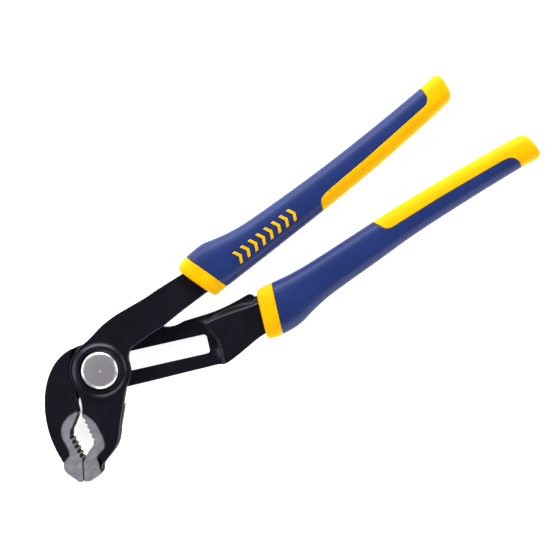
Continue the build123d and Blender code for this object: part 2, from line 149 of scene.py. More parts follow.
def lay_grain(tree, shader, grain_mm, detail, stretch=(1, 1, 1), **driven):
    """Lays noise over a material on Object coordinates, and lets it drive the shader. Its blobs are
    grain_mm across, and a stretch below 1 draws them out along that axis."""
    place = add_node(tree, "ShaderNodeTexCoord")
    scaled = add_node(tree, "ShaderNodeMapping", {"Vector": place.outputs["Object"], "Scale": stretch})
    noise = add_node(tree, "ShaderNodeTexNoise", {
        "Vector": scaled.outputs["Vector"], "Scale": 1 / (grain_mm * MM),
        "Detail": detail, "Roughness": 0.55})
    drive(tree, shader, noise.outputs["Fac"], **driven)
    return noise.outputs["Fac"]


# ---- materials ----
def baked_coat():
    """Black baked coat on shot-blasted forged steel: a dull, faintly violet black with a soft grain."""
    material, tree, shader = new_material(
        "baked_coat_on_forging", 0.34, Specular_IOR_Level=0.3, Specular_Tint=linear("#E2E2FF"))
    # the hammer leaves slow waves about 9 mm across, which soften the highlights
    lay_grain(tree, shader, 9.0, 1.0, shades=(colours().coat, colours().coat_light), relief=(0.12, 1.0))
    # shot blasting leaves pits near 0.3 mm, drawn at 0.6 mm so that they show
    lay_grain(tree, shader, 0.6, 4.0, roughness=(0.3, 0.42), relief=(0.03, 0.6))
    return material


def milled_steel():
    """Bare steel ground after coating: mid grey, with fine straight grinding lines and small dark pits."""
    material, tree, shader = new_material("ground_bare_steel", 0.5, metallic=1.0)
    # grinding lines about 0.2 mm apart, drawn at 0.5 mm so that they show, eight times as long as wide
    lines = lay_grain(tree, shader, 0.5, 5.0, (0.12, 1.0, 1.0), roughness=(0.48, 0.62), relief=(0.02, 0.5))
    # clouds about 3 mm across keep the ground face from looking even
    cloud = lay_grain(tree, shader, 3.0, 2.0)
    total = add_node(tree, "ShaderNodeMath", {0: lines, 1: cloud})
    mean = add_node(tree, "ShaderNodeMath", {0: total.outputs["Value"], 1: 0.5}, operation="MULTIPLY")
    drive(tree, shader, mean.outputs["Value"], shades=(colours().steel_dark, colours().steel))
    return material


def forged_side_scale():
    """Dark scale on the trimmed sides and the hardened teeth, which are not ground: dull, almost black."""
    material, tree, shader = new_material("forged_side_scale", 0.8, Specular_IOR_Level=0.1)
    # scale flakes near 0.5 mm
    lay_grain(tree, shader, 0.5, 4.0, shades=(colours().coat, colours().scale),
              roughness=(0.7, 0.9), relief=(0.03, 0.6))
    return material


def turned_steel():
    """Turned and ground steel of the bolt, bush and washer: brighter, with close rings about the axis."""
    material, tree, shader = new_material("turned_steel", 0.3, metallic=1.0)
    shader.inputs["Base Color"].default_value = linear(colours().steel)
    place = add_node(tree, "ShaderNodeTexCoord")
    # tool marks 0.4 mm apart
    rings = add_node(tree, "ShaderNodeTexWave", {
        "Vector": place.outputs["Object"], "Scale": 1 / (0.4 * MM) / tau, "Distortion": 0.4},
        wave_type="RINGS", rings_direction="Z")
    drive(tree, shader, rings.outputs["Fac"], roughness=(0.25, 0.38), relief=(0.01, 0.4))
    return material


def satin_steel():
    """Blasted face of the button: flat satin grey, with fine even speckle."""
    material, tree, shader = new_material("satin_blasted_steel", 0.45, metallic=1.0)
    # bead blasting near 0.15 mm, drawn at 0.35 mm so that it shows
    lay_grain(tree, shader, 0.35, 4.0, shades=(colours().button_dark, colours().button),
              roughness=(0.4, 0.55), relief=(0.015, 0.5))
    return material


def polished_steel():
    """Polished chamfer and side of the button: a near-white edge, a little uneven in its shine."""
    material, tree, shader = new_material("polished_steel_chamfer", 0.3, metallic=1.0)
    shader.inputs["Base Color"].default_value = linear(colours().chamfer)
    # the buffing wheel leaves patches near 1 mm
    lay_grain(tree, shader, 1.2, 2.0, roughness=(0.28, 0.36))
    return material


def drawn_wire():
    """Cold drawn spring wire: dark grey, with a streaky shine."""
    material, tree, shader = new_material("drawn_spring_wire", 0.35, metallic=1.0)
    shader.inputs["Base Color"].default_value = linear(colours().wire)
    # streaks near 0.4 mm, three times finer along the coil's axis
    lay_grain(tree, shader, 0.4, 3.0, (1, 1, 3), roughness=(0.28, 0.45))
    return material


def moulded_elastomer(name, base, shade, roughness, gloss):
    """Soft overmoulded rubber: an even colour under a satin skin from a spark-eroded mould."""
    material, tree, shader = new_material(name, roughness, Specular_IOR_Level=gloss)
    # the melt's flow shows as slow waves about 14 mm across
    lay_grain(tree, shader, 14.0, 1.0, shades=(base, shade), relief=(0.12, 1.0))
    # spark erosion near 0.1 mm, drawn at 0.35 mm so that it shows
    lay_grain(tree, shader, 0.35, 3.0, roughness=(roughness - 0.05, roughness + 0.07), relief=(0.02, 0.45))
    return material


MATERIALS = {}


def material(name):
    """One of the object's materials, made the first time that a piece asks for it."""
    makers = {
        "coat": baked_coat,
        "milled": milled_steel,
        "scale": forged_side_scale,
        "turned": turned_steel,
        "satin": satin_steel,
        "polished": polished_steel,
        "wire": drawn_wire,
        "blue": lambda: moulded_elastomer(
            "blue_moulded_elastomer", colours().blue, colours().blue_shade, 0.46, 0.2),
        "yellow": lambda: moulded_elastomer(
            "yellow_moulded_elastomer", colours().yellow, colours().yellow_shade, 0.55, 0.06),
    }
    if name not in MATERIALS:
        MATERIALS[name] = makers[name]()
    return MATERIALS[name]


# ---- mesh tools ----
def new_object(name, mesh):
    """An object at the origin that shows the mesh."""
    made = bpy.data.objects.new(name, mesh)
    bpy.context.scene.collection.objects.link(made)
    return made


def mesh_from(bm, name):
    """Ends a bmesh edit as a mesh."""
    mesh = bpy.data.meshes.new(name)
    bm.to_mesh(mesh)
    bm.free()
    return mesh


def settled(piece):
    """Replaces the piece's mesh by what its modifiers make of it, and takes the modifiers off."""
    bpy.context.view_layer.update()
    evaluated = piece.evaluated_get(bpy.context.evaluated_depsgraph_get())
    made = bpy.data.meshes.new_from_object(evaluated)
    made.name = piece.name
    piece.modifiers.clear()
    piece.data = made
    return piece


def merged_copy(node):
    """A bmesh of a CAD node with its loose triangles joined up."""
    bm = bmesh.new()
    bm.from_mesh(frame["nodes"][node].data)
    bmesh.ops.remove_doubles(bm, verts=bm.verts, dist=0.0005 * MM)
    return bm


def soft_edges(piece, width, segments, angle=30):
    """Rounds every edge sharper than the angle."""
    bevel = piece.modifiers.new("edges", "BEVEL")
    bevel.width = width
    bevel.segments = segments
    bevel.limit_method = "ANGLE"
    bevel.angle_limit = radians(angle)
    bevel.use_clamp_overlap = False
    return settled(piece)


def shaded(piece, angle=35):
    """Smooth shading, broken at edges sharper than the angle, with flats kept flat."""
    piece.data.shade_smooth()
    piece.data.set_sharp_from_angle(angle=radians(angle))
    weighted = piece.modifiers.new("flats", "WEIGHTED_NORMAL")
    weighted.keep_sharp = True
    weighted.weight = 80
    return settled(piece)


def finished(piece, body, slot, *nodes):
    """Parents the piece to its body's empty and hides the CAD nodes it stands for. slot is not used."""
    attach(piece, body)
    if nodes:
        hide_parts(*nodes)
    return piece


def cut(piece, tool, operation):
    """Applies a Boolean with another object, and keeps that object."""
    boolean = piece.modifiers.new("cut", "BOOLEAN")
    boolean.object = tool
    boolean.operation = operation
    boolean.solver = "EXACT"
    return settled(piece)


def prism(name, outline, low, high):
    """A closed prism over a counter-clockwise outline, in metres."""
    bm = bmesh.new()
    bottom = [bm.verts.new((x, y, low)) for x, y in outline]
    top = [bm.verts.new((x, y, high)) for x, y in outline]
    bm.faces.new(bottom[::-1])
    bm.faces.new(top)
    for n in range(len(outline)):
        m = (n + 1) % len(outline)
        bm.faces.new((bottom[n], bottom[m], top[m], top[n]))
    bmesh.ops.recalc_face_normals(bm, faces=bm.faces)
    return new_object(name, mesh_from(bm, name))


# ---- the levers ----
def is_bare(face):
    """Whether a face of a lever is one of its milled flats, ground bare after coating."""
    heights = [v.co.z for v in face.verts]
    near = 0.02 * MM
    level = abs(face.normal.z) > 0.9 and max(heights) - min(heights) < near
    return level and any(abs(heights[0] - depth) < near for depth in MILL_DEPTHS)


def is_side(face):
    """Whether a face is a steep wall: an outline side, or a wall of the mouth, its teeth or the slot."""
    return abs(face.normal.z) < 0.25


def forging(name, node, stations, front):
    """A lever as forged: rounded outline edges, crisp milled ones, and bare steel at the jaw."""
    sizes = bpy.context.scene.pliers_sizes
    bm = merged_copy(node)
    for face in bm.faces:
        face.material_index = 1 if is_bare(face) else 2 if is_side(face) else 0
    bmesh.ops.dissolve_limit(
        bm, angle_limit=radians(0.5), verts=bm.verts, edges=bm.edges, delimit={"MATERIAL"})
    weights = bm.edges.layers.float.new("bevel_weight_edge")
    for edge in bm.edges:
        if len(edge.link_faces) != 2 or edge.calc_face_angle(0) < radians(25):
            continue
        middle = (edge.verts[0].co + edge.verts[1].co) / 2
        edge[weights] = 0.0 if is_in_grip(middle, stations, front) else edge_weight(edge, sizes)
    piece = new_object(name, mesh_from(bm, name))
    piece.data.materials.append(material("coat"))
    piece.data.materials.append(material("milled"))
    piece.data.materials.append(material("scale"))
    bevel = piece.modifiers.new("edges", "BEVEL")
    bevel.limit_method = "WEIGHT"
    bevel.width = sizes.forged_edge
    bevel.segments = 4
    bevel.material = 0
    bevel.use_clamp_overlap = False
    settled(piece)
    refill_flats(piece)
    return shaded(piece)


def edge_weight(edge, sizes):
    """Share of the forged rounding that an edge gets."""
    fine = sizes.milled_edge / sizes.forged_edge
    middle = (edge.verts[0].co + edge.verts[1].co) / 2
    if any(face.material_index == 1 for face in edge.link_faces):
        return fine
    if edge.calc_face_angle_signed(0) < 0:
        return 0.0
    along = middle.xy.dot(SLOT_DIRECTION)
    across = middle.xy.dot(Vector((-SLOT_DIRECTION.y, SLOT_DIRECTION.x)))
    in_slot = SLOT_ENDS[0] < along < SLOT_ENDS[1] and abs(across) < SLOT_HALF
    if in_slot and middle.z < LAP_TOP:
        return 0.0 if middle.z < RACK_TOP else 2 * fine
    return 1.0


def is_in_grip(point, stations, front):
    """Whether a point lies inside a grip, behind the grip's leaning front."""
    x, lean = front
    low, high, _ = smooth_station(stations, x)
    return point.x / MM - lean * (point.y / MM - (low + high) / 2) > x + 0.5


AREA_SLACK = 0.0003     # share by which a refilled flat's area may differ from the old one


def refill_flats(piece):
    """Fills each horizontal flat anew from its border, so that no sliver crosses it. A flat whose new
    faces don't cover the same area keeps its old ones."""
    bm = bmesh.new()
    bm.from_mesh(piece.data)
    levels = {}
    for face in bm.faces:
        if abs(face.normal.z) > 0.9999:
            key = (round(face.calc_center_median().z / MM, 2), face.normal.z > 0, face.material_index)
            levels.setdefault(key, []).append(face)
    for (_, up, index), faces in levels.items():
        old = set(faces)
        area = sum(face.calc_area() for face in faces)
        border = [e for f in faces for e in f.edges if sum(g in old for g in e.link_faces) == 1]
        filled = bmesh.ops.triangle_fill(
            bm, edges=list(dict.fromkeys(border)), use_beauty=True, normal=(0, 0, 1 if up else -1))
        new = {part for part in filled["geom"] if isinstance(part, bmesh.types.BMFace)}
        fits = abs(sum(face.calc_area() for face in new) - area) < AREA_SLACK * area
        bmesh.ops.delete(bm, geom=list(old - new if fits else new - old), context="FACES_ONLY")
        for face in new if fits else []:
            face.material_index = index
            if (face.normal.z > 0) != up:
                face.normal_flip()
    loose = [e for e in bm.edges if not e.link_faces]
    bmesh.ops.delete(bm, geom=loose, context="EDGES")
    bm.to_mesh(piece.data)
    bm.free()


class SlottedLever(bpy.types.Operator):
    """Back lever: the hook-shaped jaw, the slot and the lower shank in one forging"""
    bl_idname = "pliers.slotted_lever"
    bl_label = "Slotted lever"

    def execute(self, context):
        piece = forging("lever_with_slot", "slotted_lever", LOWER_STATIONS, LOWER_FRONT)
        finished(piece, "lower_lever", "forging", "slotted_lever")
        return {"FINISHED"}


class ButtonLever(bpy.types.Operator):
    """Front lever: the straight jaw, the round head with its button well and the upper shank"""
    bl_idname = "pliers.button_lever"
    bl_label = "Button lever"

    def execute(self, context):
        piece = forging("lever_with_button_well", "button_lever", UPPER_STATIONS, UPPER_FRONT)
        finished(piece, "upper_lever", "forging", "button_lever")
        return {"FINISHED"}


# ---- the lock ----
class JointSteel(bpy.types.Operator):
    """Bush, toothed bolt and washer: the CAD pieces with their turned finish"""
    bl_idname = "pliers.joint_steel"
    bl_label = "Bush, bolt and washer"

    def execute(self, context):
        for node in ("guide_bush", "lock_bolt", "thrust_washer"):
            slots = frame["nodes"][node].data.materials
            slots.clear()
            slots.append(material("turned"))
        return {"FINISHED"}


def button_profile():
    """Half section of the button as radius, height and the material index of the band that follows."""
    sizes = bpy.context.scene.pliers_sizes
    rim = BUTTON_RADIUS - sizes.button_chamfer
    wall = BUTTON_RADIUS - 1.4 * MM
    ceiling = BUTTON_TOP - 1.3 * MM
    hub = 4.6 * MM
    groove = rim - 0.35 * MM
    return [
        (0.0, BUTTON_TOP - 0.25 * MM, 0),
        (0.5 * MM, BUTTON_TOP - 0.2 * MM, 0),
        (0.9 * MM, BUTTON_TOP, 0),
        (groove - 0.25 * MM, BUTTON_TOP, 0),
        (groove - 0.08 * MM, BUTTON_TOP - 0.12 * MM, 0),
        (groove + 0.08 * MM, BUTTON_TOP - 0.12 * MM, 0),
        (groove + 0.25 * MM, BUTTON_TOP, 1),
        (rim, BUTTON_TOP - 0.02 * MM, 1),
        (rim + 0.4 * sizes.button_chamfer, BUTTON_TOP - 0.18 * MM, 1),
        (rim + 0.8 * sizes.button_chamfer, BUTTON_TOP - 0.6 * MM, 1),
        (BUTTON_RADIUS, BUTTON_TOP - 1.0 * MM, 1),
        (BUTTON_RADIUS, BUTTON_LOW + 0.1 * MM, 1),
        (BUTTON_RADIUS - 0.1 * MM, BUTTON_LOW, 1),
        (wall, BUTTON_LOW, 1),
        (wall, ceiling, 1),
        (hub, ceiling, 1),
        (hub, BUTTON_LOW, 1),
        (3.0 * MM, BUTTON_LOW, 1),
        (3.0 * MM, BUTTON_TOP - 0.5 * MM, 1),
        (0.0, BUTTON_TOP - 0.5 * MM, 1),
    ]


def turned(name, profile, steps):
    """A closed solid of revolution about Z from a profile that starts and ends on the axis."""
    bm = bmesh.new()
    rings = []
    for radius, height, _ in profile:
        if radius == 0:
            rings.append([bm.verts.new((0, 0, height))])
        else:
            rings.append([bm.verts.new((radius * cos(tau * n / steps), radius * sin(tau * n / steps), height))
                          for n in range(steps)])
    for (first, second, row) in zip(rings, rings[1:], profile):
        for n in range(steps):
            m = (n + 1) % steps
            corners = [first[n % len(first)], first[m % len(first)], second[m % len(second)],
                       second[n % len(second)]]
            unique = list(dict.fromkeys(corners))
            bm.faces.new(unique).material_index = row[2]
    bmesh.ops.recalc_face_normals(bm, faces=bm.faces)
    return new_object(name, mesh_from(bm, name))


class PushButton(bpy.types.Operator):
    """Round push button with a satin face, an engraved ring and a polished chamfer"""
    bl_idname = "pliers.push_button"
    bl_label = "Push button"

    def execute(self, context):
        piece = turned("round_push_button", button_profile(), 128)
        piece.data.materials.append(material("satin"))
        piece.data.materials.append(material("polished"))
        shaded(piece, 40)
        finished(piece, "lock", "button_steel", "push_button")
        return {"FINISHED"}


def coil_tree(finish):
    """Geometry Nodes: a conical coil of round wire with named inputs for its sizes."""
    tree = bpy.data.node_groups.new("conical_coil", "GeometryNodeTree")
    ids = {}
    for name, default in (("Wire", 0.8 * MM), ("Low radius", 7.4 * MM), ("High radius", 5.7 * MM),
                          ("Turns", 2.5), ("Rise", 3.2 * MM), ("Base", SPRING_LOW)):
        socket = tree.interface.new_socket(name, in_out="INPUT", socket_type="NodeSocketFloat")
        socket.default_value = default
        ids[name] = socket.identifier
    tree.interface.new_socket("Geometry", in_out="OUTPUT", socket_type="NodeSocketGeometry")
    given = add_node(tree, "NodeGroupInput").outputs
    spiral = add_node(tree, "GeometryNodeCurveSpiral", {
        "Resolution": 48, "Rotations": given["Turns"], "Start Radius": given["Low radius"],
        "End Radius": given["High radius"], "Height": given["Rise"]})
    half = add_node(tree, "ShaderNodeMath", {0: given["Wire"], 1: 0.5}, operation="MULTIPLY")
    section = add_node(tree, "GeometryNodeCurvePrimitiveCircle", {
        "Resolution": 12, "Radius": half.outputs["Value"]})
    wire = add_node(tree, "GeometryNodeCurveToMesh", {
        "Curve": spiral.outputs["Curve"], "Profile Curve": section.outputs["Curve"], "Fill Caps": True})
    lift = add_node(tree, "ShaderNodeMath", {0: given["Base"], 1: half.outputs["Value"]})
    raised = add_node(tree, "ShaderNodeCombineXYZ", {"Z": lift.outputs["Value"]})
    placed = add_node(tree, "GeometryNodeTransform", {
        "Geometry": wire.outputs["Mesh"], "Translation": raised.outputs["Vector"]})
    real = add_node(tree, "GeometryNodeRealizeInstances", {"Geometry": placed.outputs["Geometry"]})
    coated = add_node(tree, "GeometryNodeSetMaterial", {
        "Geometry": real.outputs["Geometry"], "Material": finish})
    add_node(tree, "NodeGroupOutput", {"Geometry": coated.outputs["Geometry"]})
    return tree, ids


class ButtonSpring(bpy.types.Operator):
    """Conical coil spring under the button"""
    bl_idname = "pliers.button_spring"
    bl_label = "Button spring"

    def execute(self, context):
        sizes = context.scene.pliers_sizes
        tree, ids = coil_tree(material("wire"))
        piece = new_object("conical_spring", bpy.data.meshes.new("conical_spring"))
        nodes = piece.modifiers.new("coil", "NODES")
        nodes.node_group = tree
        nodes[ids["Wire"]] = sizes.wire
        nodes[ids["Turns"]] = sizes.turns
        nodes[ids["Rise"]] = SPRING_HIGH - SPRING_LOW - sizes.wire
        nodes[ids["Base"]] = SPRING_LOW
        settled(piece)
        shaded(piece, 60)
        finished(piece, "guide", "spring_wire", "button_spring")
        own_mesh(piece)
        return {"FINISHED"}


# ---- the grips ----
# each station in millimetres: distance along X, lower edge, upper edge, half thickness
UPPER_STATIONS = [
    (44.0, -0.1, 13.6, 6.3), (50.0, -0.3, 17.0, 7.4), (54.0, -0.4, 19.5, 8.0), (57.0, -0.5, 20.7, 8.4),
    (60.8, -0.5, 21.4, 8.7), (66.6, 0.1, 22.0, 8.8), (69.9, 0.3, 21.8, 8.7), (74.4, 0.7, 20.8, 8.5),
    (83.8, 1.4, 19.5, 8.2), (95.0, 2.3, 19.3, 8.0), (128.8, 5.2, 20.7, 8.0), (158.8, 8.6, 23.1, 8.0),
    (188.0, 12.9, 26.3, 8.3), (198.0, 14.7, 27.9, 8.3),
]
LOWER_STATIONS = [
    (60.0, -25.3, -12.0, 6.3), (66.0, -27.8, -11.0, 7.4), (70.2, -30.1, -10.4, 8.0), (74.0, -31.2, -9.8, 8.4),
    (78.0, -31.7, -8.9, 8.7), (82.5, -32.0, -9.2, 8.8), (86.6, -31.7, -9.9, 8.7), (93.8, -30.1, -10.9, 8.4),
    (103.2, -28.7, -11.5, 8.1), (128.8, -27.7, -11.8, 8.0), (148.8, -26.9, -12.0, 8.0),
    (178.8, -27.2, -13.3, 8.0), (205.3, -28.2, -15.0, 8.3), (216.5, -29.2, -16.2, 8.3),
]


UPPER_FRONT, UPPER_END = (56.05, -0.396), (197.4, 0.03)   # place along X in millimetres, and lean
LOWER_FRONT, LOWER_END = (72.35, 0.362), (215.5, -0.1)
LEAN_FADE = (26.0, 12.0)     # millimetres over which the lean of the front and of the end dies out


def smooth_station(stations, x):
    """Lower edge, upper edge and half thickness at x, on a smooth curve through the stations."""
    last = len(stations) - 2
    n = max(k for k in range(last + 1) if k == 0 or stations[k][0] <= x)

    def slope(k, item):
        a, b = max(k - 1, 0), min(k + 1, last + 1)
        return (stations[b][item] - stations[a][item]) / (stations[b][0] - stations[a][0])

    x0, x1 = stations[n][0], stations[n + 1][0]
    t = (x - x0) / (x1 - x0)
    values = []
    for item in (1, 2, 3):
        p0, p1 = stations[n][item], stations[n + 1][item]
        m0, m1 = slope(n, item) * (x1 - x0), slope(n + 1, item) * (x1 - x0)
        values.append(p0 * (2 * t ** 3 - 3 * t ** 2 + 1) + m0 * (t ** 3 - 2 * t ** 2 + t)
                      + p1 * (3 * t ** 2 - 2 * t ** 3) + m1 * (t ** 3 - t ** 2))
    return values


def grip_rows(front, end, sizes):
    """Places of a grip's sections along X, with how far each one is pulled in where the ends round off."""
    turns = 8
    quarter = [pi / 2 * n / turns for n in range(turns + 1)]
    lip, nose = sizes.collar_round / MM, sizes.end_round / MM
    start, flat = front + lip, end - nose
    count = int((flat - start) / (sizes.ring_gap / MM))
    rows = [(start - lip * cos(a), lip * (1 - sin(a))) for a in quarter[:-1]]
    rows += [(start + (flat - start) * n / count, 0.0) for n in range(count + 1)]
    return rows + [(flat + nose * sin(a), nose * (1 - cos(a))) for a in quarter[1:]]


def grip_body(name, stations, front_end, tail_end):
    """Closed handle body: squarish rounded sections along X, leaning to match its front and its end."""
    sizes = bpy.context.scene.pliers_sizes
    around = 72
    power = 2 / sizes.squareness
    first_x, last_x = stations[0][0], stations[-1][0]
    front, front_lean = front_end
    end, end_lean = tail_end
    bm = bmesh.new()
    rings = []
    for x, pulled in grip_rows(front, end, sizes):
        near_front = max(0.0, 1 - (x - front) / LEAN_FADE[0])
        near_end = max(0.0, 1 - (end - x) / LEAN_FADE[1])
        lean = front_lean * near_front + end_lean * near_end
        ring = []
        for n in range(around):
            c, s = cos(tau * n / around), sin(tau * n / around)
            unit_y = abs(c) ** power * (1 if c >= 0 else -1)
            unit_z = abs(s) ** power * (1 if s >= 0 else -1)
            low, high, _ = smooth_station(stations, min(x, last_x))
            axis = (low + high) / 2
            place = x + lean * unit_y * (high - low) / 2
            # the edge stays on the stations' curve where the section leans past its own place
            low, high, half = smooth_station(stations, max(first_x, min(place, last_x)))
            y = (low + high) / 2 + unit_y * ((high - low) / 2 - pulled)
            place = x + lean * (y - axis)
            ring.append(bm.verts.new((place * MM, y * MM, GRIP_MIDDLE + unit_z * (half - pulled) * MM)))
        rings.append(ring)
    for first, second in zip(rings, rings[1:]):
        for n in range(around):
            m = (n + 1) % around
            bm.faces.new((first[n], first[m], second[m], second[n]))
    bm.faces.new(rings[0][::-1])
    bm.faces.new(rings[-1])
    bmesh.ops.recalc_face_normals(bm, faces=bm.faces)
    return new_object(name, mesh_from(bm, name))


def curve_through(points, steps=6):
    """A smooth row of points through the given ones."""
    made = []
    for n in range(len(points) - 1):
        before = Vector(points[max(n - 1, 0)])
        a, b = Vector(points[n]), Vector(points[n + 1])
        after = Vector(points[min(n + 2, len(points) - 1)])
        for k in range(steps):
            t = k / steps
            made.append(0.5 * ((2 * a) + (b - before) * t + (2 * before - 5 * a + 4 * b - after) * t * t
                               + (3 * a - before - 3 * b + after) * t ** 3))
    return [tuple(p) for p in made] + [points[-1]]


BLOCK_LOW, BLOCK_HIGH = -30 * MM, 45 * MM       # well past the grips' back and front


def block(name, outline):
    """A prism through the grip's whole thickness, from an outline in millimetres."""
    return prism(name, [(x * MM, y * MM) for x, y in outline], BLOCK_LOW, BLOCK_HIGH)


UPPER_CUTS = {
    "collar": [(30, 50), (30, -20), (75.0, -20), (67.2, 0.1), (59.0, 21.1), (47.7, 50)],
    "tail": curve_through([(121.0, -6.0), (121.2, 0.0), (121.4, 4.4), (121.9, 7.0), (122.9, 8.9),
                           (124.8, 9.9), (128.4, 10.7)])
    + curve_through([(148.2, 13.0), (168.0, 15.8), (183.0, 18.0), (185.2, 18.8), (186.4, 20.2), (186.9, 23.0),
                     (187.1, 35.0)])
    + [(215.0, 35.0), (215.0, -6.0)],
}
LOWER_CUTS = {
    "collar": [(50, 10), (50, -50), (69.0, -50), (76.1, -31.2), (84.2, -9.8), (91.7, 10)],
    "tail": curve_through([(134.0, 0.0), (135.0, -5.0), (136.9, -11.8), (138.3, -15.0), (139.5, -17.2),
                           (141.6, -18.3), (145.0, -18.5)])
    + curve_through([(168.0, -19.1), (187.9, -20.2), (199.5, -21.0), (203.0, -22.0), (204.6, -24.0),
                     (205.2, -27.0), (205.3, -40.0)])
    + [(235.0, -40.0), (235.0, 0.0)],
}


def copy_of(piece, name):
    """A second object with its own copy of the mesh."""
    return new_object(name, piece.data.copy())


def grown(outline, by):
    """An outline in millimetres moved outwards by a small distance."""
    area = sum(a[0] * b[1] - b[0] * a[1] for a, b in zip(outline, outline[1:] + outline[:1]))
    side = 1 if area > 0 else -1
    made = []
    for n, point in enumerate(outline):
        a, b, c = Vector(outline[n - 1]), Vector(point), Vector(outline[(n + 1) % len(outline)])
        before, after = (b - a).normalized(), (c - b).normalized()
        out = Vector((before.y + after.y, -before.x - after.x)).normalized() * side
        reach = by / max(0.5, out.dot(Vector((before.y, -before.x)) * side))
        made.append((b.x + out.x * reach, b.y + out.y * reach))
    return made


def build_grip(side, stations, front, end, cuts, body, lever):
    """The collar, sleeve and tail of one grip, split from one smooth body along their seams."""
    sizes = bpy.context.scene.pliers_sizes
    seam = sizes.seam_gap / MM
    whole = grip_body(side + "_whole", stations, front, end)
    tang = new_object("tang", mesh_from(merged_copy(lever), "tang"))
    cut(whole, tang, "DIFFERENCE")
    tools = {key: block(key, cuts[key]) for key in ("collar", "tail")}
    wider = {key: block(key + "_wide", grown(cuts[key], seam)) for key in ("collar", "tail")}
    parts = {
        "collar": (copy_of(whole, side + "_collar"), [(tools["collar"], "INTERSECT")], "yellow"),
        "tail": (copy_of(whole, side + "_tail"), [(tools["tail"], "INTERSECT")], "yellow"),
        "sleeve": (copy_of(whole, side + "_sleeve"),
                   [(wider["collar"], "DIFFERENCE"), (wider["tail"], "DIFFERENCE")], "blue"),
    }
    for key, (piece, steps, colour) in parts.items():
        for tool, operation in steps:
            cut(piece, tool, operation)
        piece.name = f"{side}_{key}_moulding"
        clean_cuts(piece)
        soft_edges(piece, sizes.seam_edge, 2, 40)
        piece.data.materials.clear()
        piece.data.materials.append(material(colour))
        shaded(piece, 50)
        finished(piece, body, colour + "_grip", f"{side}_grip_{key}")
    for spare in [whole, tang, *tools.values(), *wider.values()]:
        bpy.data.objects.remove(spare)
    return parts["sleeve"][0]


def clean_cuts(piece):
    """Joins the tiny edges that a Boolean leaves along its cut."""
    bm = bmesh.new()
    bm.from_mesh(piece.data)
    bmesh.ops.remove_doubles(bm, verts=bm.verts, dist=0.06 * MM)
    bmesh.ops.dissolve_degenerate(bm, edges=bm.edges, dist=0.02 * MM)
    bm.to_mesh(piece.data)
    bm.free()


class UpperGrip(bpy.types.Operator):
    """Two-colour grip of the upper handle: yellow collar, blue sleeve, yellow tail"""
    bl_idname = "pliers.upper_grip"
    bl_label = "Upper grip"

    def execute(self, context):
        build_grip(
            "upper", UPPER_STATIONS, UPPER_FRONT, UPPER_END, UPPER_CUTS, "upper_lever", "button_lever")
        return {"FINISHED"}


class LowerGrip(bpy.types.Operator):
    """Two-colour grip of the lower handle: yellow collar, blue sleeve, yellow tail"""
    bl_idname = "pliers.lower_grip"
    bl_label = "Lower grip"

    def execute(self, context):
        build_grip(
            "lower", LOWER_STATIONS, LOWER_FRONT, LOWER_END, LOWER_CUTS, "lower_lever", "slotted_lever")
        return {"FINISHED"}


